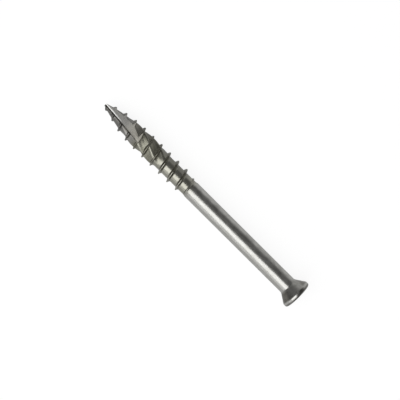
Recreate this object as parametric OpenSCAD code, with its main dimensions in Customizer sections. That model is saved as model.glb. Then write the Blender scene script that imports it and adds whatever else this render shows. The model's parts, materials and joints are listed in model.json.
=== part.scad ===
// Deck screw, one solid: a countersunk head with a six-lobe recess, a plain shank, a coarse
// right-hand wood thread, five helical reamer ribs and a notched point that drills its own hole.
// It lies as it comes to rest, on the rim of its head and the first full crest of its thread.

/* [Overall] */
// Length from the tip to the top of the head
screw_len = 63.5; // [50:0.5:90]

/* [Head] */
// Widest diameter of the head
head_d = 7.55; // [6.8:0.05:9]
// Height of the straight rim around the head
rim_h = 0.5; // [0.2:0.05:0.8]
// Radius of the rounding between the rim and the flat top
crown_r = 0.45; // [0.3:0.05:0.8]
// Angle of the countersink, from side to side, in degrees
sink_angle = 66; // [60:1:90]
// Radius of the fillet between the shank and the countersink
neck_r = 1; // [0.4:0.1:2]

/* [Drive recess] */
// Width of the recess across its lobes
drive_d = 3.95; // [3.3:0.05:4.5]
// Width of the recess across its flutes
drive_waist_d = 2.8; // [2.2:0.05:3.1]
// Radius of each flute between two lobes
flute_r = 0.86; // [0.6:0.02:1]
// Depth of the lobes below the top of the head
drive_depth = 2.1; // [1.2:0.1:2.4]
// Depth of the cone at the foot of the recess
drive_cone_h = 0.5; // [0.2:0.1:0.8]
// Width of the small chamfer around the mouth of the recess
mouth_chamfer = 0.12; // [0.05:0.01:0.2]

/* [Shank] */
// Diameter of the plain shank
shank_d = 4.4; // [4.3:0.02:4.8]
// Distance from the tip to the start of the shank
shank_start = 27.7; // [24:0.1:34]
// Length of the chamfer where the shank starts
shank_chamfer = 0.45; // [0.3:0.05:1]

/* [Thread] */
// Diameter over the crests of the thread
thread_d = 5.6; // [5.3:0.05:6.2]
// Diameter of the core between the crests
core_d = 4.14; // [3.9:0.02:4.24]
// Distance along the axis from one crest to the next
pitch = 2.74; // [2.3:0.02:3.2]
// Width of the flat on the crest
crest_w = 0.12; // [0.08:0.01:0.2]
// Width of the thread part of the way up its hollow flanks
flank_w = 0.44; // [0.3:0.02:0.6]
// Width of the thread at its foot
base_w = 1; // [0.8:0.02:1.2]
// Length over which the thread fades out towards the shank
run_out = 3.2; // [2:0.1:5]
// Length over which the thread grows from the tip
thread_rise = 9; // [5:0.1:14]
// Distance from the tip to the first crest on the upper side
first_crest = 0.18; // [0:0.01:2.7]

/* [Point] */
// Length of the tapered point
point_len = 12.8; // [9:0.1:16]
// Diameter of the blunt tip
tip_d = 0.65; // [0.5:0.05:1.2]

/* [Reamer ribs] */
// Number of ribs around the core
rib_count = 5; // [3:1:6]
// Height of the ribs above the core
rib_h = 0.36; // [0.1:0.02:0.5]
// Distance along the axis in which a rib makes a full turn
rib_lead = 26.8; // [20:0.2:40]
// Distance from the tip to where the ribs begin
rib_start = 4.6; // [4:0.1:8]
// Distance from the tip to where the ribs end
rib_end = 20.1; // [16:0.1:23]
// Length over which the ribs rise from their start
rib_rise = 5.3; // [0.5:0.1:6]
// Length over which the ribs fall to their end
rib_fall = 3.2; // [0.5:0.1:5]
// Angle of the first rib from the upper side where the ribs begin, in degrees
rib_turn = 6; // [-36:1:36]

/* [Notch] */
// Distance of the notch's wall from the axis at the tip
notch_wall_off = 0.02; // [0:0.01:0.2]
// Radius in which the notch's wall bends away from the axis
notch_wall_r = 220; // [120:5:400]
// Angle by which the notch's wall leans outwards, in degrees
notch_wall_lean = 16; // [5:1:30]
// Angle between the notch's floor and the axis, in degrees
notch_floor_angle = 11.5; // [9:0.1:14]
// Angle by which the notch's floor rises away from its wall, in degrees
notch_floor_tilt = 6; // [0:0.5:10]

/* [Detail] */
// Straight steps in one turn of the thread
turn_steps = 36; // [24:6:42]

/* [Hidden] */

$fn = 72;
metal = [0.62, 0.61, 0.57];
arc_steps = 8;

// Small overlap where one shape runs into another
eps = 0.02;

head_r = head_d / 2;
shank_r = shank_d / 2;
thread_r = thread_d / 2;
core_r = core_d / 2;
tip_r = tip_d / 2;

// The core swells along the point as one power of the distance left to its end, and the thread
// grows from the tip as another power of the distance along it
core_power = 2.5;
thread_power = 0.35;

// Part of the thread's height at which flank_w is measured
flank_share = 0.4;

// Heights up the head, from the tip: the rim's foot and the fillet's ends
rim_z = screw_len - crown_r - rim_h;
sink_half = sink_angle / 2;
neck_top_r = shank_r + neck_r * (1 - cos(sink_half));
neck_top_z = rim_z - (head_r - neck_top_r) / tan(sink_half);
neck_z = neck_top_z - neck_r * sin(sink_half);

// The threaded length ends in a plain disc this far inside the full shank, and the thread has
// faded out this far past the shank's start
stop_overlap = 0.4;
fade_overlap = 0.5;
thread_stop = shank_start + shank_chamfer + stop_overlap;
run_out_end = shank_start + fade_overlap;

// The shank starts just inside the core
shank_foot_r = core_r - 0.03;

// Section of the thread over one pitch: distance from the middle of the crest, along the axis,
// and share of the thread's height. The last points lie on the bare core.
root_gap = pitch - base_w;
root_points = 3;
section = concat(
    [
        [-base_w / 2, 0],
        [-flank_w / 2, flank_share],
        [-crest_w / 2, 1],
        [crest_w / 2, 1],
        [flank_w / 2, flank_share],
    ],
    [for (k = [0:root_points - 1]) [base_w / 2 + root_gap * k / root_points, 0]]
);
section_count = len(section);

// Points nearer than this to an end of the threaded length are gathered onto its rim
rim_snap = 0.02;
lead_in = 2 * pitch;
turns = ceil((thread_stop + base_w + lead_in - first_crest) / pitch) + 1;
last_step = (turns - 1) * turn_steps;

// Limits of x from a to b
function within(x, a, b) = min(max(x, a), b);

// Points of an arc about a centre, from one angle to another
function arc(centre, r, from, to) = [
    for (k = [0:arc_steps])
        let (angle = from + (to - from) * k / arc_steps)
        centre + r * [cos(angle), sin(angle)]
];

// Radius of the core at a distance x from the tip
function core_at(x) = core_r - (core_r - tip_r) * pow(1 - within(x / point_len, 0, 1), core_power);

// Height of the ribs above the core, at a distance x from the tip and an angle from the top
function rib_at(x, angle) =
    let (
        rise = within((x - rib_start) / rib_rise, 0, 1),
        fall = within((rib_end - x) / rib_fall, 0, 1),
        crest = rib_turn + 360 * (x - rib_start) / rib_lead
    )
    rib_h * rise * fall * (1 + cos(rib_count * (angle - crest))) / 2;

// Height of the thread's crest above the core at a distance x from the tip
function thread_at(x) =
    let (
        rise = pow(within(x / thread_rise, 0, 1), thread_power),
        fall = within((run_out_end - x) / run_out, 0, 1)
    )
    (thread_r - core_r) * rise * fall;

// Where a step of the helix and a point of the section lie along the axis
function along(step, k) =
    first_crest - lead_in + pitch * (step + 0.5) / turn_steps + section[k][0];

function at_tip(step, k) = along(step, k) < rim_snap;
function at_stop(step, k) = along(step, k) > thread_stop - rim_snap;

// A point of the threaded surface
function thread_point(step, k) =
    let (
        x = at_tip(step, k) ? 0 : at_stop(step, k) ? thread_stop : along(step, k),
        angle = 360 * (step + 0.5) / turn_steps,
        ridge = section[k][1] * thread_at(x),
        r = at_tip(step, k) ? tip_r : core_at(x) + max(ridge, rib_at(x, angle))
    )
    [x, -r * sin(angle), r * cos(angle)];

// Number of a point in the list. Points gathered onto a rim share the rim's own point.
function point_number(step, k) =
    k == section_count ? point_number(step + turn_steps, 0) :
    at_tip(step, k) ? (step % turn_steps) * section_count :
    at_stop(step, k) ? (last_step + step % turn_steps) * section_count :
    step * section_count + k;

// A triangle, or nothing where two of its corners are the same point
function triangle(a, b, c) = a == b || b == c || c == a ? [] : [[a, b, c]];

function cell(step, k) =
    let (
        a = point_number(step, k),
        b = point_number(step + 1, k),
        c = point_number(step + 1, k + 1),
        d = point_number(step, k + 1)
    )
    concat(triangle(a, d, c), triangle(a, c, b));

// Core, thread and ribs, swept as one surface along the helix
module threaded_length() {
    points = [
        for (step = [0:turns * turn_steps])
            for (k = [0:section_count - 1])
                thread_point(step, k)
    ];
    side = [
        for (step = [0:last_step - 1])
            for (k = [0:section_count - 1])
                each cell(step, k)
    ];
    tip = [[for (step = [0:turn_steps - 1]) point_number(step, 0)]];
    stop = [[for (step = [turn_steps - 1:-1:0]) point_number(last_step + step, 0)]];
    polyhedron(points, concat(side, tip, stop));
}

// Shank and head, turned about the axis
module shank_and_head() {
    outline = concat(
        [[0, shank_start], [shank_foot_r, shank_start], [shank_r, shank_start + shank_chamfer]],
        arc([shank_r + neck_r, neck_z], neck_r, 180, 180 - sink_half),
        [[head_r, rim_z]],
        arc([head_r - crown_r, screw_len - crown_r], crown_r, 0, 90),
        [[0, screw_len]]
    );
    rotate([0, 90, 0])
        rotate_extrude()
            polygon(outline);
}

// Outline of the recess: a circle through the lobes, with six flutes between them
module drive_outline() {
    lobes = 6;
    difference() {
        circle(d = drive_d);
        for (k = [0:lobes - 1])
            rotate(360 * (k + 0.5) / lobes)
                translate([drive_waist_d / 2 + flute_r, 0])
                    circle(r = flute_r);
    }
}

// Six-lobe recess, as a solid to be cut from the head
module drive_recess() {
    above = 1;
    cone_r = drive_waist_d / 2 - 0.05;
    translate([screw_len, 0, 0])
        rotate([0, -90, 0]) {
            translate([0, 0, -above])
                linear_extrude(above + drive_depth)
                    drive_outline();
            translate([0, 0, drive_depth - eps])
                cylinder(h = drive_cone_h, r1 = cone_r, r2 = 0);
            translate([0, 0, -above])
                cylinder(h = above + mouth_chamfer, r1 = drive_d / 2 + above, r2 = drive_d / 2 - eps);
        }
}

// Notch of the point, as a solid to be cut away: a flat floor that rises to the surface, beside a
// leaning wall that bends away from the axis
module notch() {
    past_tip = -1;
    reach = thread_r + 1;
    past_end = reach / tan(notch_floor_angle);
    wall_facets = 720;
    difference() {
        rotate([90 + notch_floor_tilt, 0, 0])
            linear_extrude(4 * reach, center = true)
                polygon([[past_tip, past_tip * tan(notch_floor_angle)], [past_end, reach], [past_tip, reach]]);
        translate([0, -notch_wall_off, 0])
            rotate([notch_wall_lean, 0, 0])
                translate([0, -notch_wall_r, 0])
                    cylinder(h = 6 * reach, r = notch_wall_r, center = true, $fn = wall_facets);
    }
}

// Screw along X, with its tip at the origin
module straight_screw() {
    difference() {
        union() {
            threaded_length();
            shank_and_head();
        }
        notch();
        drive_recess();
    }
}

// At rest the head's rim and one crest of the thread touch the ground. That crest is the one
// that leaves the axis most nearly level.
low_crests = [
    for (k = [0:floor(shank_start / pitch) - 1])
        first_crest + pitch * (k + 0.5)
];
lean = min([
    for (x = low_crests)
        atan((head_r - core_at(x) - thread_at(x)) / (rim_z - x))
]);
rest_height = head_r * cos(lean) - rim_z * sin(lean);
rest_middle = (screw_len * cos(lean) + (head_r - crown_r - tip_r) * sin(lean)) / 2;

module screw() {
    color(metal)
        translate([-rest_middle, 0, rest_height])
            rotate([0, -lean, 0])
                straight_screw();
}

screw();
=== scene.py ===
"""Looks of the deck screw: one finely meshed piece in place of the solid, its stainless steel
finish, the floor, the studio light and the camera above it."""

import json
import math

import bmesh
import bpy
import numpy as np
from mathutils import Matrix, Vector


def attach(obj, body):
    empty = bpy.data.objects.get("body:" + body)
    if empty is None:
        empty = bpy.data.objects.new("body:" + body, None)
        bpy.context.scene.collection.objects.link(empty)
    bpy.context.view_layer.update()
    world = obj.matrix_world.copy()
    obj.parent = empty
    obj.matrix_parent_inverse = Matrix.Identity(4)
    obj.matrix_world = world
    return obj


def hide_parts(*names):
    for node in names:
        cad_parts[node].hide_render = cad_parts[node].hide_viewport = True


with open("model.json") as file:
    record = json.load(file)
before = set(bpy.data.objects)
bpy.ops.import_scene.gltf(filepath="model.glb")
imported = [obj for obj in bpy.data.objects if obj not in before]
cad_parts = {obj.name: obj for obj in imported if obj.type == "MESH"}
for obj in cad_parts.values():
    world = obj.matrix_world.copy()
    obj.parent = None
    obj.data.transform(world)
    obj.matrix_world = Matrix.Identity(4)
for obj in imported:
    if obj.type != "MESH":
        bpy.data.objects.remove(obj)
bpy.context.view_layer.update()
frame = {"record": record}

MM = 0.001

# Sizes in millimetres, as in the solid
SCREW_LEN = 63.5
RIM_H = 0.5
CROWN_R = 0.45
SINK_HALF = math.radians(33)
NECK_R = 1.0
DRIVE_R = 1.975
DRIVE_WAIST_R = 1.4
FLUTE_R = 0.86
DRIVE_DEPTH = 2.1
DRIVE_CONE_R = DRIVE_WAIST_R - 0.05
DRIVE_CONE_H = 0.5
MOUTH_CHAMFER = 0.12
SHANK_R = 2.2
SHANK_START = 27.7
SHANK_CHAMFER = 0.45
CORE_R = 2.07
PITCH = 2.74
CREST_W = 0.12
BASE_W = 1.0
RUN_OUT = 3.2
RUN_OUT_END = SHANK_START + 0.5
FIRST_CREST = 0.18
POINT_LEN = 12.8
CORE_POWER = 2.5
THREAD_RISE = 9.0
THREAD_POWER = 0.35
RIB_COUNT = 5
RIB_H = 0.36
RIB_LEAD = 26.8
RIB_START = 4.6
RIB_END = 20.1
RIB_RISE = 5.3
RIB_FALL = 3.2
RIB_TURN = math.radians(6)
NOTCH_WALL_OFF = 0.02
NOTCH_WALL_R = 220.0
NOTCH_WALL_LEAN = math.radians(16)
NOTCH_FLOOR_ANGLE = math.radians(11.5)
NOTCH_FLOOR_TILT = math.radians(6)

# Where the rim, the crown and the shank's full width start
RIM_X = SCREW_LEN - CROWN_R - RIM_H
CROWN_X = SCREW_LEN - CROWN_R
CHAMFER_END = SHANK_START + SHANK_CHAMFER

# Outer radii, a hair smaller than the solid's, so that the piece stays inside the solid's box
HEAD_R = 3.768
THREAD_R = 2.799
TIP_R = 0.324

# What is finer here than in the solid. The higher these powers, the narrower the ribs and the
# more hollow the flanks of the thread.
RIB_POWER = 2
FLANK_POWER = 1.6

# The thread is gone this far before its run-out ends
RUN_OUT_REST = 0.3

# The thread's last half turn lies nearer the tip: from where, by how much, and over what length
# that grows
LAST_TURN_START = 26.6
LAST_TURN_SHIFT = 0.25
LAST_TURN_LEN = 1.0

# Where a crest near the tip is knocked flat, by what share of its height, over what length and
# over what part of a turn, in radians
NICK_X = 3.6
NICK_TURN = math.radians(62)
NICK_SHARE = 0.6
NICK_LEN = 0.8
NICK_SPREAD = 0.8

# The floor of the notch dips to its wall near the tip: how deep, how wide and over what length
DIP = 0.04
DIP_W = 0.2
DIP_LEN = 7.0

# The recess's lobes keep this far inside its mouth
LOBE_GAP = 0.005

# The solid that cuts the notch starts before the tip, ends where it is past the surface, and
# reaches this far across and up
CUTTER_START = -1.0
NOTCH_END = 16.0
CUTTER_REACH = THREAD_R + 1
CUTTER_TOP = THREAD_R + 3

# Fineness of the mesh. The points on a flank crowd towards its crest.
TURN_STEPS = 144
FLANK_POINTS = 9
FLANK_CROWD = 1.3
ROOT_STEPS = 9
ARC_STEPS = 14
SHANK_RINGS = 40
CONE_RINGS = 8
DRIVE_RINGS = 8
WELD = 0.001
MOST_CORNERS = 4
SHARP_ANGLE = math.radians(32)

# Across the cutter's floor, points crowd towards the wall up to the square of this share of its
# width, and then come at these shares. The foot of the wall is found in a few rounds.
CUTTER_STATIONS = 61
CROWDED_TO = 0.5
CROWDED_STEPS = 20
FLOOR_SHARES = [0.3, 0.5, 1]
FOOT_ROUNDS = 8

# Where the screw lies, as packed: its own directions along, across and up, and its tip
drive = {m["name"]: m for m in frame["record"]["mounts"]}["drive_recess"]
axis = Vector(drive["axis"]).normalized()
side = Vector((0, 1, 0))
own_directions = np.array([axis, side, axis.cross(side)])
own_tip = np.array(Vector(drive["pos_m"])) - SCREW_LEN * MM * np.array(axis)


def to_frame(own):
    """From the screw's own millimetres to the frame's metres."""
    return own_tip + MM * np.asarray(own, float) @ own_directions


def from_frame(points):
    """From the frame's metres back to the screw's own millimetres."""
    return (points - own_tip) @ own_directions.T / MM


def within(value, low, high):
    """The value, kept between low and high."""
    return np.clip(value, low, high)


def core_at(x):
    """Radius of the core at a distance x from the tip."""
    left = 1 - within(x / POINT_LEN, 0, 1)
    return CORE_R - (CORE_R - TIP_R) * left**CORE_POWER


def rib_at(x, angle):
    """Height of the reamer ribs above the core."""
    rise = within((x - RIB_START) / RIB_RISE, 0, 1)
    fall = within((RIB_END - x) / RIB_FALL, 0, 1) ** 2
    crest = RIB_TURN + 2 * math.pi * (x - RIB_START) / RIB_LEAD
    round_share = (1 + np.cos(RIB_COUNT * (angle - crest))) / 2
    return RIB_H * rise * fall * round_share**RIB_POWER


def thread_at(x):
    """Height of the thread's crest above the core."""
    rise = within(x / THREAD_RISE, 0, 1) ** THREAD_POWER
    fall = within((RUN_OUT_END - RUN_OUT_REST - x) / (RUN_OUT - RUN_OUT_REST), 0, 1)
    return (THREAD_R - CORE_R) * rise * fall


def chamfer_at(x):
    """Radius of the chamfer where the core widens to the shank."""
    r = CORE_R + (SHANK_R - CORE_R) * within((x - SHANK_START) / SHANK_CHAMFER, 0, 1)
    return np.where(x > SHANK_START, r, 0)


def nick_at(x, angle):
    """Share by which the crest is knocked flat in one place near the tip."""
    turn = np.angle(np.exp(1j * (angle - NICK_TURN)))
    return NICK_SHARE * np.exp(-(((x - NICK_X) / NICK_LEN) ** 2) - (turn / NICK_SPREAD) ** 2)


def section():
    """The thread's section over one pitch: distances along the axis from the middle of the
    crest, and the share of the thread's height at each."""
    half = BASE_W / 2
    flat = CREST_W / 2
    out = flat + (half - flat) * np.linspace(0, 1, FLANK_POINTS) ** FLANK_CROWD
    ridge = np.concatenate([-out[::-1], [0], out])
    root = half + (PITCH - BASE_W) * np.arange(1, ROOT_STEPS) / ROOT_STEPS
    along = np.concatenate([ridge, root])
    hollow = within((np.abs(along) - flat) / (half - flat), 0, 1)
    height = (1 - hollow) ** FLANK_POWER
    height[len(ridge):] = 0
    return along, height


def grid_faces(number):
    """Faces between the rows and columns of a grid of point numbers. Corners that were gathered
    onto one point count once, and faces that this leaves without area are left out."""
    a, b = number[:-1, :-1].ravel(), number[1:, :-1].ravel()
    c, d = number[1:, 1:].ravel(), number[:-1, 1:].ravel()
    faces = []
    for quad in zip(a.tolist(), b.tolist(), c.tolist(), d.tolist()):
        corners = [p for k, p in enumerate(quad) if p != quad[k - 1]]
        if len(corners) > 2:
            faces.append(corners)
    return faces


def threaded_grid():
    """Core, thread and ribs, swept along the helix: the points as distance along the axis,
    radius and angle, the faces, and the rims at the tip and next to the shank. Points past
    either end are gathered onto that end's rim."""
    along, height = section()
    count = len(along)
    lead_in = 2 * PITCH
    snap = PITCH / TURN_STEPS
    turns = math.ceil((CHAMFER_END + BASE_W + lead_in - FIRST_CREST) / PITCH) + 1
    last = (turns - 1) * TURN_STEPS
    steps = np.arange(turns * TURN_STEPS + 1)[:, None]

    x = FIRST_CREST - lead_in + PITCH * (steps + 0.5) / TURN_STEPS + along[None, :]
    x = x - LAST_TURN_SHIFT * within((x - LAST_TURN_START) / LAST_TURN_LEN, 0, 1)
    at_tip = x < snap
    at_stop = x > CHAMFER_END - snap
    x = np.where(at_tip, 0, np.where(at_stop, CHAMFER_END, x))
    angle = np.broadcast_to(2 * math.pi * (steps + 0.5) / TURN_STEPS, x.shape)
    ridge = height[None, :] * thread_at(x) * (1 - nick_at(x, angle))
    r = core_at(x) + np.maximum(ridge, rib_at(x, angle))
    r = np.maximum(r, chamfer_at(x))
    r = np.where(at_tip, TIP_R, r)
    points = np.stack([x.ravel(), r.ravel(), angle.ravel()], 1)

    number = np.arange(x.size).reshape(x.shape)
    on_turn = steps % TURN_STEPS
    number = np.where(at_tip, on_turn * count, number)
    number = np.where(at_stop, (last + on_turn) * count, number)
    turn_later = number[TURN_STEPS:last + TURN_STEPS + 1, :1]
    faces = grid_faces(np.concatenate([number[:last + 1], turn_later], 1))
    tip_rim = [k * count for k in range(TURN_STEPS)]
    stop_rim = [(last + k) * count for k in range(TURN_STEPS)]
    return points, faces, tip_rim, stop_rim


def arc(middle, r, start, end):
    """Points of an arc, as (distance along the axis, radius)."""
    turns = np.linspace(start, end, ARC_STEPS + 1)
    return [(middle[0] + r * math.sin(t), middle[1] + r * math.cos(t)) for t in turns]


def head_outline():
    """Outline of the shank and head, from the shank's start to the edge of the flat top."""
    neck_top_r = SHANK_R + NECK_R * (1 - math.cos(SINK_HALF))
    neck_top_x = RIM_X - (HEAD_R - neck_top_r) / math.tan(SINK_HALF)
    neck_x = neck_top_x - NECK_R * math.sin(SINK_HALF)
    shank = [(x, SHANK_R) for x in np.linspace(CHAMFER_END, neck_x, SHANK_RINGS)[1:]]
    neck = arc((neck_x, SHANK_R + NECK_R), NECK_R, math.pi, math.pi - SINK_HALF)
    cone = [
        (x, neck_top_r + (x - neck_top_x) * math.tan(SINK_HALF))
        for x in np.linspace(neck_top_x, RIM_X, CONE_RINGS)
    ]
    rim = [(RIM_X + RIM_H / 2, HEAD_R)]
    crown = arc((CROWN_X, HEAD_R - CROWN_R), CROWN_R, 0, math.pi / 2)
    return shank + neck[1:] + cone[1:] + rim + crown


def drive_radius(angle):
    """Radius of the six-lobe recess in each direction."""
    middle = DRIVE_WAIST_R + FLUTE_R
    sixth = math.pi / 3
    off = np.abs((angle % sixth) - sixth / 2)
    inside = FLUTE_R**2 - (middle * np.sin(off)) ** 2
    reach = middle * np.cos(off) - np.sqrt(np.maximum(inside, 0))
    return np.where(inside > 0, np.minimum(reach, DRIVE_R), DRIVE_R)


def drive_outline(angles):
    """Distances along the axis and radii of the rings of the recess, from its mouth down."""
    lobes = drive_radius(angles) - LOBE_GAP
    mouth = [(SCREW_LEN, DRIVE_R + MOUTH_CHAMFER), (SCREW_LEN - MOUTH_CHAMFER, DRIVE_R)]
    depths = np.linspace(MOUTH_CHAMFER, DRIVE_DEPTH, DRIVE_RINGS)
    walls = [(SCREW_LEN - depth, lobes) for depth in depths]
    return mouth + walls + [(SCREW_LEN - DRIVE_DEPTH, DRIVE_CONE_R)]


def new_object(name, points, faces):
    """A mesh object with these points, in the screw's own millimetres."""
    mesh = bpy.data.meshes.new(name)
    mesh.from_pydata([tuple(p) for p in to_frame(points)], [], faces)
    mesh.validate()
    obj = bpy.data.objects.new(name, mesh)
    bpy.context.scene.collection.objects.link(obj)
    return obj


def make_blank():
    """The whole screw before its notch is cut."""
    points, faces, tip_rim, rim = threaded_grid()
    angles = 2 * math.pi * (np.arange(TURN_STEPS) + 0.5) / TURN_STEPS
    rows = [points]
    total = len(points)
    for x, r in head_outline() + drive_outline(angles):
        rows.append(np.stack([np.full(TURN_STEPS, x), r * np.ones(TURN_STEPS), angles], 1))
        ring = list(range(total, total + TURN_STEPS))
        for k in range(TURN_STEPS):
            after = (k + 1) % TURN_STEPS
            faces.append([rim[k], rim[after], ring[after], ring[k]])
        total += TURN_STEPS
        rim = ring
    rows.append(np.array([[SCREW_LEN - DRIVE_DEPTH - DRIVE_CONE_H, 0, 0], [0, 0, 0]]))
    foot, tip = total, total + 1
    for k in range(TURN_STEPS):
        after = (k + 1) % TURN_STEPS
        faces.append([rim[k], rim[after], foot])
        faces.append([tip_rim[after], tip_rim[k], tip])
    x, r, angle = np.concatenate(rows).T
    own = np.stack([x, -r * np.sin(angle), r * np.cos(angle)], 1)
    return new_object("screw_blank", own, faces)


def wall_at(x, z):
    """Where the notch's leaning wall is, across the screw."""
    bend = (NOTCH_WALL_R - np.sqrt(NOTCH_WALL_R**2 - x**2)) / math.cos(NOTCH_WALL_LEAN)
    return -NOTCH_WALL_OFF - bend - z * math.tan(NOTCH_WALL_LEAN)


def floor_at(x, y):
    """Height of the notch's floor, which dips to the wall near the tip."""
    level = x * math.tan(NOTCH_FLOOR_ANGLE) / math.cos(NOTCH_FLOOR_TILT)
    level = level + y * math.tan(NOTCH_FLOOR_TILT)
    off = y - wall_at(x, level)
    dip = DIP * within(1 - x / DIP_LEN, 0, 1) * np.exp(-within(off, 0, None) / DIP_W)
    return level - dip


def make_cutter():
    """The solid that is cut away to make the notch: at each station the points of its floor, from
    the foot of the wall outwards, and its two upper corners."""
    crowded = np.linspace(0, CROWDED_TO, CROWDED_STEPS + 1)[:-1] ** 2
    shares = np.concatenate([crowded, FLOOR_SHARES])
    points, faces = [], []
    stations = np.linspace(CUTTER_START, NOTCH_END, CUTTER_STATIONS)
    for x in stations:
        foot = 0.0
        for _ in range(FOOT_ROUNDS):
            foot = wall_at(x, floor_at(x, foot))
        for share in shares:
            y = foot + (CUTTER_REACH - foot) * share
            points.append((x, y, floor_at(x, y)))
        points += [(x, CUTTER_REACH, CUTTER_TOP), (x, wall_at(x, CUTTER_TOP), CUTTER_TOP)]
    around = len(shares) + 2
    for k in range(len(stations) - 1):
        a, b = around * k, around * (k + 1)
        for j in range(around):
            after = (j + 1) % around
            faces.append([a + j, a + after, b + after, b + j])
    end = around * (len(stations) - 1)
    faces.append(list(range(around))[::-1])
    faces.append(list(range(end, end + around)))
    return new_object("notch_cutter", points, faces)


def outward(obj):
    """Turns all faces of a closed mesh outwards."""
    mesh = obj.data
    corners = np.array([v.co for v in mesh.vertices])
    volume = 0.0
    mesh.calc_loop_triangles()
    for t in mesh.loop_triangles:
        a, b, c = (corners[i] for i in t.vertices)
        volume += float(np.dot(a, np.cross(b, c)))
    if volume < 0:
        mesh.flip_normals()


def clean(mesh):
    """Joins points closer together than a micrometre, and cuts faces of many corners into
    triangles."""
    made = bmesh.new()
    made.from_mesh(mesh)
    bmesh.ops.remove_doubles(made, verts=made.verts[:], dist=WELD * MM)
    bmesh.ops.triangulate(made, faces=[f for f in made.faces if len(f.verts) > MOST_CORNERS])
    made.to_mesh(mesh)
    made.free()


# Zones of the finish and of the painted shade, highlights and reflections. Each is a pair of
# places in millimetres, where it starts and where it is full: X from the tip, Y across from the
# axis, R outwards from the axis, and OFF from the notch's wall, where minus is the side that
# wasn't cut.
THREADED_X = (RUN_OUT_END + 0.6, RUN_OUT_END - 1)
RIBBED_FRONT_X = (7, 10)
RIBBED_BACK_X = (RIB_END - 0.9, RIB_END - 3.9)
# Band across where the teeth are painted lighter: painted light
LIT_TEETH_INNER_Y = (-0.6, 0.2)
LIT_TEETH_OUTER_Y = (1.8, 1.2)
# Roots painted darker along the upper side: painted shade
ROOT_SHADE_X = (26, 24.5)
ROOT_SHADE_Y = (1.1, 1.5)
POINT_X = (11.3, 10.1)
HEEL_X = (6.3, 10.3)
# The point painted darker on its upper side near the heel: painted shade
POINT_SHADE_X = (7.2, 8)
POINT_SHADE_Y = (0.1, 0.6)
# Painted shade in the notch's corner: on the floor by the wall's foot, on the wall, and along the
# burr
FOOT_OFF = (0.169, 0.039)
BURR_GROWS_X = (5, 8)
BURR_ENDS_X = (11.8, 10.3)
# A painted highlight line on the notch's floor beside the wall, near the tip
EDGE_HIGHLIGHT_X = (5.8, 3.2)
# The cone, pitted and painted darker as painted shade
SINK_FRONT_X = (RIM_X - 2.6, RIM_X - 2)
SINK_BACK_X = (RIM_X, RIM_X - 0.1)
SINK_LOW_Y = (-0.4, -1.8)
SINK_HIGH_Y = (2.3, 2.8)
RIM_EDGE_X = (RIM_X - 0.1, RIM_X)
# A painted dark reflection on the rim, ending at the crown
RIM_REFLECTION_X = (CROWN_X + 0.1, CROWN_X - 0.1)
# The crown, painted darker as a painted dark reflection
CROWN_EDGE_X = (CROWN_X - 0.11, CROWN_X - 0.03)
CROWN_EDGE_R = (HEAD_R - CROWN_R, HEAD_R - CROWN_R + 0.1)
# A painted mottled reflection along the upper side
REFLECTION_MOTTLE_LOW_Y = (0.2, 0.6)
REFLECTION_MOTTLE_HIGH_Y = (2.1, 1.6)

# Middle and width of the strips whose edges are soft: the painted highlight line beside the
# notch's wall, and the painted dark reflection on the rim
EDGE_HIGHLIGHT_OFF = (0.26, 0.1)
RIM_REFLECTION_Y = (1.45, 0.75)

# The painted shade on the burr beside the notch's wall: how dark it is near the tip and how much
# darker at the heel, the width over which it fades, and how many such widths it is wide near the
# tip, with how many more at the heel
BURR_SHADE = 0.8
BURR_MORE_SHADE = 0.2
BURR_FADE = 0.14
BURR_WIDTHS = 1.4
BURR_MORE_WIDTHS = 1.5

# Lowest height at which the thread counts as one, the least by which a point's height on it is
# measured, and how much more than its height a knocked crest loses of its painted flank shade
THREAD_LEAST = 0.03
TOOTH_LEAST = 0.05
NICK_TONE = 1.5

# A point this close to a face of the cutter was made by it
CUT_NEAR = 0.012

# How fast the painted corner shade fades up a tooth, and the most that it fades by
TOOTH_CLEARS = 4
MOST_CLEARED = 0.9

# How far the cone is pitted and painted darker: anywhere, and how much more towards either side,
# where the darkening is painted shade
SINK_SHADE = 0.3
SINK_LOW_SHADE = 0.65
SINK_HIGH_SHADE = 0.45


def zone(value, places):
    """Share by which a value has come into a zone: 0 at its start, 1 where it is full."""
    start, full = places
    return within((value - start) / (full - start), 0, 1)


def strip(value, places):
    """Share by which a value lies in a strip with soft edges: 1 at its middle."""
    middle, width = places
    return np.exp(-(((value - middle) / width) ** 2))


def thread_marks(x, y, r, angle):
    """How far up a tooth and up a rib a place is, and how far it is in the threaded length, among
    the ribs, in the band where the teeth are painted lighter as painted light, and where the
    roots are painted darker on the upper side as painted shade."""
    height = thread_at(x)
    body = np.maximum(core_at(x) + rib_at(x, angle), chamfer_at(x))
    tooth = within((r - body) / np.maximum(height, TOOTH_LEAST), 0, 1)
    return {
        "tooth": np.where(height > THREAD_LEAST, tooth, 0) * (1 - NICK_TONE * nick_at(x, angle)),
        "threaded": zone(x, THREADED_X),
        "ridge": within(rib_at(x, angle) / RIB_H, 0, 1),
        "ribbed": zone(x, RIBBED_FRONT_X) * zone(x, RIBBED_BACK_X),
        # Band across where the teeth are painted lighter: painted light
        "lit_teeth": zone(y, LIT_TEETH_INNER_Y) * zone(y, LIT_TEETH_OUTER_Y),
        # Roots painted darker along the upper side: painted shade
        "root_shade": zone(y, ROOT_SHADE_Y) * zone(x, ROOT_SHADE_X),
    }


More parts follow.
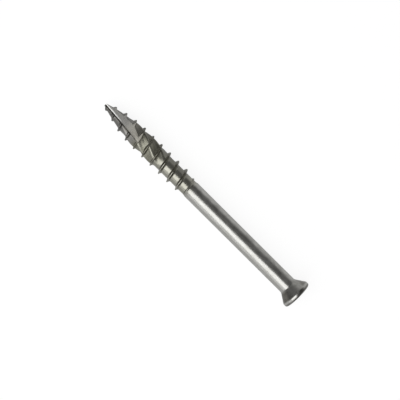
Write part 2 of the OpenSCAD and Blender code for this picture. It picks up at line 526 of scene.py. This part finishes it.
def notch_marks(x, y, z, tooth):
    """How far a place is on the screw's point and at the point's heel, whether the cutter made
    it, and how far it is in the painted shade of the corner of floor, wall and burr, on the
    painted highlight line beside that, and in the painted shade on the point's upper side at the
    heel."""
    off = y - wall_at(x, z)
    above = z - floor_at(x, y)
    here = (z > 0) & (x < NOTCH_END)
    on_floor = (np.abs(above) < CUT_NEAR) & (off > -CUT_NEAR) & here
    on_wall = (np.abs(off) < CUT_NEAR) & (above > CUT_NEAR) & here
    on_burr = (off < 0) & (above > 0) & here
    grown = zone(x, BURR_GROWS_X)
    burr = within(BURR_WIDTHS + BURR_MORE_WIDTHS * grown + off / BURR_FADE, 0, 1)
    burr = (BURR_SHADE + BURR_MORE_SHADE * grown) * burr
    corner = np.where(on_burr, burr, np.where(on_wall, 1, zone(off, FOOT_OFF) * on_floor))
    off_teeth = 1 - within(TOOTH_CLEARS * tooth, 0, MOST_CLEARED)
    point = zone(x, POINT_X)
    return {
        "point": point,
        "heel": zone(x, HEEL_X),
        "cut": on_floor | on_wall,
        # Painted shade in the notch's corner, along its wall and burr
        "corner": corner * zone(x, BURR_ENDS_X) * off_teeth,
        # A painted highlight line on the notch's floor beside the wall, near the tip
        "edge_highlight": strip(off, EDGE_HIGHLIGHT_OFF) * on_floor * zone(x, EDGE_HIGHLIGHT_X),
        # The point painted darker on its upper side near the heel: painted shade
        "point_shade": zone(y, POINT_SHADE_Y) * zone(x, POINT_SHADE_X) * point,
    }


def head_marks(x, y, z, r):
    """How far the cone is pitted and painted darker as painted shade, and how far a place is on
    the rim, on the crown, in the painted dark reflection on the rim, and in the painted mottled
    reflection along the upper side."""
    # Pitted grain, with painted shade that grows towards the lower and upper sides
    pits_and_shade = SINK_SHADE + SINK_LOW_SHADE * zone(y, SINK_LOW_Y) + SINK_HIGH_SHADE * zone(y, SINK_HIGH_Y)
    rim = zone(x, RIM_EDGE_X)
    return {
        # The cone: pitted, and painted darker as painted shade
        "sink": zone(x, SINK_FRONT_X) * zone(x, SINK_BACK_X) * pits_and_shade,
        "rim": rim,
        # The crown, painted darker as a painted dark reflection
        "crown": zone(x, CROWN_EDGE_X) * zone(r, CROWN_EDGE_R),
        # A painted dark reflection on the rim's upper side
        "rim_dark_reflection": rim * zone(x, RIM_REFLECTION_X) * strip(y, RIM_REFLECTION_Y) * (z > 0),
        # A painted mottled reflection along the upper side
        "reflection_mottle": zone(y, REFLECTION_MOTTLE_LOW_Y) * zone(y, REFLECTION_MOTTLE_HIGH_Y) * (z > 0),
    }


def mark_places(mesh):
    """Keeps, at each point of the mesh, the marks that the finish and the painted shade,
    highlights and reflections depend on.
    """
    flat = np.empty(3 * len(mesh.vertices))
    mesh.vertices.foreach_get("co", flat)
    x, y, z = from_frame(flat.reshape(-1, 3)).T
    r = np.hypot(y, z)
    angle = np.arctan2(-y, z)
    marks = thread_marks(x, y, r, angle)
    marks |= notch_marks(x, y, z, marks["tooth"])
    marks |= head_marks(x, y, z, r)
    for name, values in marks.items():
        layer = mesh.attributes.new(name, "FLOAT", "POINT")
        layer.data.foreach_set("value", values.astype(np.float32))


def make_screw():
    """The screw with its notch cut, marked for the finish and for its painted shade, highlights
    and reflections.
    """
    blank, cutter = make_blank(), make_cutter()
    outward(blank)
    outward(cutter)
    cut = blank.modifiers.new("notch", "BOOLEAN")
    cut.object = cutter
    cut.operation = "DIFFERENCE"
    cut.solver = "EXACT"
    bpy.context.view_layer.update()
    evaluated = blank.evaluated_get(bpy.context.evaluated_depsgraph_get())
    mesh = bpy.data.meshes.new_from_object(evaluated)
    mesh.name = "deck_screw"
    screw = bpy.data.objects.new("deck_screw", mesh)
    bpy.context.scene.collection.objects.link(screw)
    for obj in (blank, cutter):
        bpy.data.objects.remove(obj)
    mesh.materials.clear()
    clean(mesh)
    mark_places(mesh)
    mesh.shade_smooth()
    mesh.set_sharp_from_angle(angle=SHARP_ANGLE)
    return screw


class Tree:
    """Short names for the nodes of a material or a world."""

    def __init__(self, owner):
        owner.use_nodes = True
        self.tree = owner.node_tree
        self.tree.nodes.clear()
        self.marks = {}

    def node(self, kind, **settings):
        made = self.tree.nodes.new("ShaderNode" + kind)
        for key, value in settings.items():
            setattr(made, key, value)
        return made

    def set(self, socket, value):
        """Links an output to the socket, or gives the socket a value."""
        if isinstance(value, bpy.types.NodeSocket):
            self.tree.links.new(value, socket)
        else:
            socket.default_value = value

    def math(self, operation, *values):
        made = self.node("Math", operation=operation)
        for socket, value in zip(made.inputs, values):
            self.set(socket, value)
        return made.outputs[0]

    def mark(self, name):
        """The mark of that name, as mark_places kept it."""
        if name not in self.marks:
            self.marks[name] = self.node("Attribute", attribute_name=name).outputs["Fac"]
        return self.marks[name]

    def mix(self, factor, a, b, blend="MIX"):
        made = self.node("Mix", data_type="RGBA", blend_type=blend)
        self.set(made.inputs["Factor"], factor)
        colours = [i for i in made.inputs if i.type == "RGBA"]
        self.set(colours[0], a)
        self.set(colours[1], b)
        return [o for o in made.outputs if o.type == "RGBA"][0]

    def ramp(self, value, stops, interpolation="LINEAR"):
        """A grey level that follows the value through the stops, each a place and a level."""
        made = self.node("ValToRGB")
        made.color_ramp.interpolation = interpolation
        elements = made.color_ramp.elements
        while len(elements) < len(stops):
            elements.new(0.5)
        for element, (where, level) in zip(elements, stops):
            element.position = where
            element.color = (level, level, level, 1)
        self.set(made.inputs[0], value)
        return made.outputs["Color"]

    def noise(self, along, across, detail, rough):
        """Noise with so many waves per metre along the screw and across it."""
        squeezed = self.node("Mapping")
        squeezed.inputs["Scale"].default_value = (along, across, across)
        self.set(squeezed.inputs["Vector"], self.node("TexCoord").outputs["Object"])
        made = self.node("TexNoise")
        self.set(made.inputs["Vector"], squeezed.outputs[0])
        made.inputs["Scale"].default_value = 1.0
        made.inputs["Detail"].default_value = detail
        made.inputs["Roughness"].default_value = rough
        return made.outputs["Fac"]

    def bump(self, height, strength, distance):
        made = self.node("Bump")
        made.inputs["Strength"].default_value = strength
        made.inputs["Distance"].default_value = distance
        self.set(made.inputs["Height"], height)
        return made


def grey(level, blue):
    """A warm grey: hardly less green than red, and this share of blue."""
    return (level, level * 0.993, level * blue, 1)


# Tones of the steel, as linear red, green and blue, some of them painted shade, highlights and
# reflections. Where there are two, a noise or a mark leads from the first to the second.
SHANK_TONES = grey(0.5, 0.935), grey(0.575, 0.955)
SHANK_STAIN = grey(0.4, 0.9)
# Painted mottled reflection along the upper side
REFLECTION_MOTTLE_TONES = grey(0.36, 0.92), grey(0.7, 0.94)
# The cone's pitted grain, painted dark as painted shade
PITTED_SHADED_TONES = (0.13, 0.125, 0.11, 1), (0.22, 0.211, 0.188, 1)
# Painted dark reflection on the crown
CROWN_SHADE_TONE = (0.24, 0.235, 0.22, 1)
# Painted dark reflection on the rim
RIM_REFLECTION_TONE = (0.13, 0.127, 0.115, 1)
ROOT_TONES = (0.37, 0.364, 0.312, 1), (0.47, 0.463, 0.402, 1)
# Painted shade on the roots' upper side
ROOT_SHADE_TONE = (0.1, 0.097, 0.085, 1)
RIBBED_TONES = (0.26, 0.257, 0.2, 1), (0.4, 0.395, 0.33, 1)
RIBBED_STAIN = (0.22, 0.195, 0.165, 1)
RIDGE_TONE = (0.5, 0.495, 0.43, 1)
POINT_TONES = (0.25, 0.245, 0.232, 1), (0.36, 0.352, 0.33, 1)
# Painted shade on the point's upper side
POINT_SHADE_TONE = (0.28, 0.272, 0.24, 1)
# Teeth painted darker on their flanks: painted shade
SHADED_TOOTH_TONES = (0.165, 0.161, 0.137, 1), (0.22, 0.215, 0.18, 1)
# Teeth painted lighter in one band across: painted light
TOOTH_LIT_TONE = (0.38, 0.373, 0.32, 1)
# Teeth on the point, painted darker on their flanks: painted shade
SHADED_POINT_TOOTH_TONE = (0.19, 0.185, 0.17, 1)
CUT_TONES = (0.23, 0.227, 0.216, 1), (0.43, 0.413, 0.364, 1)
CUT_STAIN = (0.12, 0.115, 0.108, 1)
# Painted highlight line beside the notch's wall
EDGE_HIGHLIGHT_TONE = (0.97, 0.965, 0.945, 1)
# Painted shade in the notch's corner
CORNER_SHADE_TONE = (0.11, 0.105, 0.092, 1)

# Noises of the steel: waves per metre along and across, detail and roughness
DRAWN = (60, 2600, 4.0, 0.6)
STREAKS = (700, 2400, 3.0, 0.5)
MOTTLE = (420, 700, 5.0, 0.62)
STAIN = (190, 320, 3.0, 0.5)

# How strongly a noise or a mark shows: a share at each of its levels, or one share at its full
STREAKS_SHOW = ((0.36, 0), (0.62, 1))
SHANK_STAIN_SHOWS = ((0.45, 0), (0.62, 0.14))
HEAD_MOTTLE_SHOWS = ((0.38, 0), (0.62, 1))
THREAD_MOTTLE_SHOWS = ((0.35, 0), (0.68, 1))
RIBBED_STAIN_SHOWS = ((0.45, 0), (0.7, 0.45))
RIDGE_SHOWS = ((0.72, 0), (0.95, 0.45))
# How far up a tooth its painted flank shade shows
TOOTH_SHOWS = ((0.0, 0), (0.08, 0.8), (0.85, 0.6), (0.97, 0))
CUT_STAIN_SHOWS = ((0.3, 0.25), (0.7, 0))
# Shares of the painted mottled reflection, of the painted dark reflection on the rim, and of the
# painted shade on the roots' upper side
REFLECTION_MOTTLE_SHOWS = 0.7
RIM_REFLECTION_SHOWS = 0.85
ROOT_SHADE_SHOWS = 0.5

# Roughness of the steel, what its drawn lines add, and what each place adds at its full. Among
# the ribs it comes in by this power.
ROUGHNESS = 0.255
DRAWN_ROUGHNESS = 0.06
RIBBED_POWER = 2.0
RIBBED_ROUGHNESS = 0.21
RIDGE_ROUGHNESS = -0.22
POINT_ROUGHNESS = 0.1
CUT_ROUGHNESS = -0.02
RIM_ROUGHNESS = -0.02

# Relief: strength and depth in metres of the drawn lines and of the dents, and the share of the
# dents that the smooth shank has
LINE_RELIEF = (0.07, 0.00004)
DENT_RELIEF = (0.25, 0.0001)
SHANK_DENTS = 0.1


def shank_colour(t, mottle, stain):
    """Streaked and lightly stained steel, with a painted mottled reflection along its upper side,
    a pitted cone painted darker as painted shade, the crown painted darker as a painted dark
    reflection, and a painted dark reflection on the rim."""
    colour = t.mix(t.ramp(t.noise(*STREAKS), STREAKS_SHOW), *SHANK_TONES)
    colour = t.mix(t.ramp(stain, SHANK_STAIN_SHOWS), colour, SHANK_STAIN)
    mottled = t.ramp(mottle, HEAD_MOTTLE_SHOWS)
    # A painted mottled reflection, laid along the upper side
    reflection_mottle = t.mix(mottled, *REFLECTION_MOTTLE_TONES)
    colour = t.mix(t.math("MULTIPLY", t.mark("reflection_mottle"), REFLECTION_MOTTLE_SHOWS), colour, reflection_mottle)
    # The cone, pitted and painted darker as painted shade
    colour = t.mix(t.mark("sink"), colour, t.mix(mottled, *PITTED_SHADED_TONES))
    # The crown, painted darker: a painted dark reflection
    colour = t.mix(t.mark("crown"), colour, CROWN_SHADE_TONE)
    # A painted dark reflection on the rim
    return t.mix(t.math("MULTIPLY", t.mark("rim_dark_reflection"), RIM_REFLECTION_SHOWS), colour, RIM_REFLECTION_TONE)


def thread_colour(t, mottle, stain, polished):
    """Bright roots painted darker along the upper side as painted shade, stained valleys between
    polished ribs, a dull point painted darker on its upper side as painted shade, and teeth
    painted darker on their flanks as painted shade and lighter in one band as painted light.
    """
    mottled = t.ramp(mottle, THREAD_MOTTLE_SHOWS)
    valley = t.mix(t.ramp(stain, RIBBED_STAIN_SHOWS), t.mix(mottled, *RIBBED_TONES), RIBBED_STAIN)
    ribs = t.mix(polished, valley, RIDGE_TONE)
    core = t.mix(t.mark("ribbed"), t.mix(mottled, *ROOT_TONES), ribs)
    # Roots painted darker along the upper side: painted shade
    core = t.mix(t.math("MULTIPLY", t.mark("root_shade"), ROOT_SHADE_SHOWS), core, ROOT_SHADE_TONE)
    # The point, painted darker on its upper side: painted shade
    point = t.mix(t.mark("point_shade"), t.mix(t.mark("heel"), *POINT_TONES), POINT_SHADE_TONE)
    core = t.mix(t.mark("point"), core, point)
    # Teeth painted lighter in one band across: painted light
    tooth = t.mix(t.mark("lit_teeth"), t.mix(t.mark("ribbed"), *SHADED_TOOTH_TONES), TOOTH_LIT_TONE)
    tooth = t.mix(t.mark("point"), tooth, SHADED_POINT_TOOTH_TONE)
    # Teeth painted darker on their flanks: painted shade
    return t.mix(t.ramp(t.mark("tooth"), TOOTH_SHOWS), core, tooth)


def cut_colour(t, mottle):
    """The milled notch, lighter towards its heel, with a painted highlight line by its wall."""
    colour = t.mix(t.mark("heel"), *CUT_TONES)
    colour = t.mix(t.ramp(mottle, CUT_STAIN_SHOWS), colour, CUT_STAIN)
    # A painted highlight line by the wall
    return t.mix(t.mark("edge_highlight"), colour, EDGE_HIGHLIGHT_TONE)


def steel_roughness(t, drawn, polished):
    """Smooth on the shank and on the ribs' crests, rougher in the valleys and at the point."""
    places = (
        (t.math("POWER", t.mark("ribbed"), RIBBED_POWER), RIBBED_ROUGHNESS),
        (polished, RIDGE_ROUGHNESS),
        (t.mark("point"), POINT_ROUGHNESS),
        (t.mark("cut"), CUT_ROUGHNESS),
        (t.mark("rim"), RIM_ROUGHNESS),
    )
    roughness = t.math("MULTIPLY_ADD", drawn, DRAWN_ROUGHNESS, ROUGHNESS)
    for mark, more in places:
        roughness = t.math("MULTIPLY_ADD", mark, more, roughness)
    return roughness


def steel_relief(t, drawn, mottle):
    """Fine lines along the screw, and dents that are deep on the thread and faint elsewhere."""
    lines = t.bump(drawn, *LINE_RELIEF)
    depth = t.math("MULTIPLY_ADD", t.mark("threaded"), 1 - SHANK_DENTS, SHANK_DENTS)
    dents = t.bump(t.math("MULTIPLY", mottle, depth), *DENT_RELIEF)
    t.set(dents.inputs["Normal"], lines.outputs[0])
    return dents.outputs[0]


def steel():
    """Rolled and tumbled stainless steel, with painted shade, highlights and reflections in its
    colour. The marks tell its tones and roughness where to be.
    """
    material = bpy.data.materials.new("stainless_steel")
    t = Tree(material)
    drawn, mottle, stain = t.noise(*DRAWN), t.noise(*MOTTLE), t.noise(*STAIN)
    polished = t.ramp(t.mark("ridge"), RIDGE_SHOWS)
    thread = thread_colour(t, mottle, stain, polished)
    colour = t.mix(t.mark("threaded"), shank_colour(t, mottle, stain), thread)
    colour = t.mix(t.mark("cut"), colour, cut_colour(t, mottle))
    # Painted shade in the notch's corner, along its wall and burr
    colour = t.mix(t.mark("corner"), colour, CORNER_SHADE_TONE)
    shader = t.node("BsdfPrincipled")
    shader.inputs["Metallic"].default_value = 1.0
    t.set(shader.inputs["Base Color"], colour)
    t.set(shader.inputs["Roughness"], steel_roughness(t, drawn, polished))
    t.set(shader.inputs["Normal"], steel_relief(t, drawn, mottle))
    t.set(t.node("OutputMaterial").inputs[0], shader.outputs[0])
    return material


# The floor: half its width in metres, its paint, and how much it is lit up where the camera sees
# it and where metal mirrors it
FLOOR_HALF = 2.0
FLOOR_PAINT = (0.2, 0.2, 0.2, 1)
FLOOR_SEEN = 0.9
FLOOR_MIRRORED = 0.47


def make_floor():
    """A white floor: painted darker and lit up to white where it is seen, so that the screw's
    shadow on it stays faint."""
    mesh = bpy.data.meshes.new("floor")
    low, high = -FLOOR_HALF, FLOOR_HALF
    corners = [(low, low, 0), (high, low, 0), (high, high, 0), (low, high, 0)]
    mesh.from_pydata(corners, [], [[0, 1, 2, 3]])
    floor = bpy.data.objects.new("floor", mesh)
    bpy.context.scene.collection.objects.link(floor)
    material = bpy.data.materials.new("floor_paint")
    t = Tree(material)
    paint = t.node("BsdfDiffuse")
    paint.inputs["Color"].default_value = FLOOR_PAINT
    rays = t.node("LightPath").outputs
    seen = t.math("MULTIPLY", rays["Is Camera Ray"], FLOOR_SEEN)
    mirrored = t.math("ADD", rays["Is Glossy Ray"], rays["Is Transmission Ray"])
    glow = t.node("Emission")
    t.set(glow.inputs["Strength"], t.math("MULTIPLY_ADD", mirrored, FLOOR_MIRRORED, seen))
    total = t.node("AddShader")
    t.set(total.inputs[0], paint.outputs[0])
    t.set(total.inputs[1], glow.outputs[0])
    t.set(t.node("OutputMaterial").inputs[0], total.outputs[0])
    mesh.materials.append(material)


# The studio's brightness by height, from the horizon up, and its dark corner, to the left of the
# picture: where it is, and what share of the brightness is left the nearer to it one looks
STUDIO_BY_HEIGHT = ((0.0, 0.54), (0.16, 0.45), (0.5, 0.13), (1.0, 0.13))
DARK_CORNER = (-0.74, -0.67, 0)
CORNER_BY_NEARNESS = ((0.74, 1.0), (0.9, 0.45))
WHITE = (1, 1, 1, 1)


def make_world():
    """A dim studio, lighter towards the horizon, where the pale floor and walls light it, with
    one dark corner. The camera sees white."""
    world = bpy.data.worlds.new("studio")
    bpy.context.scene.world = world
    t = Tree(world)
    where = t.node("TexCoord").outputs["Generated"]
    split = t.node("SeparateXYZ")
    t.set(split.inputs[0], where)
    height = t.ramp(split.outputs["Z"], STUDIO_BY_HEIGHT, "EASE")
    towards = t.node("VectorMath", operation="DOT_PRODUCT")
    t.set(towards.inputs[0], where)
    towards.inputs[1].default_value = DARK_CORNER
    corner = t.ramp(towards.outputs["Value"], CORNER_BY_NEARNESS, "EASE")
    studio = t.mix(1.0, height, corner, "MULTIPLY")
    sky = t.node("Background")
    seen = t.node("LightPath").outputs["Is Camera Ray"]
    t.set(sky.inputs["Color"], t.mix(seen, studio, WHITE))
    t.set(t.node("OutputWorld").inputs[0], sky.outputs[0])


# How far the soft lights are from the screw, in metres
LIGHT_FAR = 0.6


def make_softbox(name, lean, wide, from_x, to_x, level):
    """A soft light across the screw's length, seen from the screw from lean - wide / 2 to
    lean + wide / 2 degrees from straight up, over the lower left of the picture."""
    area = bpy.data.lights.new(name, "AREA")
    area.shape = "RECTANGLE"
    area.size = to_x - from_x
    area.size_y = 2 * LIGHT_FAR * math.tan(math.radians(wide / 2))
    area.energy = level * math.pi * area.size * area.size_y
    lean = math.radians(lean)
    softbox = bpy.data.objects.new(name, area)
    bpy.context.scene.collection.objects.link(softbox)
    softbox.location = (
        (from_x + to_x) / 2,
        -LIGHT_FAR * math.sin(lean),
        LIGHT_FAR * math.cos(lean),
    )
    softbox.rotation_euler = (lean, 0, 0)


# The photograph's frame at the screw's axis: how far the screw is turned from level, how far the
# camera leans towards the point's end, the size of a pixel, half the picture's width, and the
# camera's distance and aim
SCREW_TURN = math.radians(44.84)
CAMERA_LEAN = math.radians(4.8)
PIXEL = 0.2335 * MM
IMAGE_HALF = 200 * PIXEL
CAMERA_FAR = 2100 * PIXEL
AIM = Vector((-0.00046, -0.00022, 0.0032))


def make_camera():
    """The camera looks down on the screw, which lies from the upper left to the lower right."""
    data = bpy.data.cameras.new("camera")
    camera = bpy.data.objects.new("camera", data)
    bpy.context.scene.collection.objects.link(camera)
    data.sensor_fit = "HORIZONTAL"
    data.angle = 2 * math.atan(IMAGE_HALF / CAMERA_FAR)
    data.clip_start = 0.01
    along = Vector((math.cos(CAMERA_LEAN), 0, math.sin(CAMERA_LEAN)))
    back = along.cross(side)
    right = math.cos(SCREW_TURN) * along + math.sin(SCREW_TURN) * side
    up = back.cross(right)
    turn = Matrix((right, up, back)).transposed()
    camera.matrix_world = Matrix.Translation(AIM + CAMERA_FAR * back) @ turn.to_4x4()
    bpy.context.scene.camera = camera


make_camera()
screw = make_screw()
screw.data.materials.append(steel())
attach(screw, "root")
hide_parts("screw")
make_floor()
make_world()
make_softbox("softbox", lean=29, wide=48, from_x=-0.46, to_x=0.27, level=1.7)
make_softbox("reflector", lean=68, wide=26, from_x=-0.3, to_x=0.45, level=0.62)

bpy.context.scene.view_settings.view_transform = "Standard"
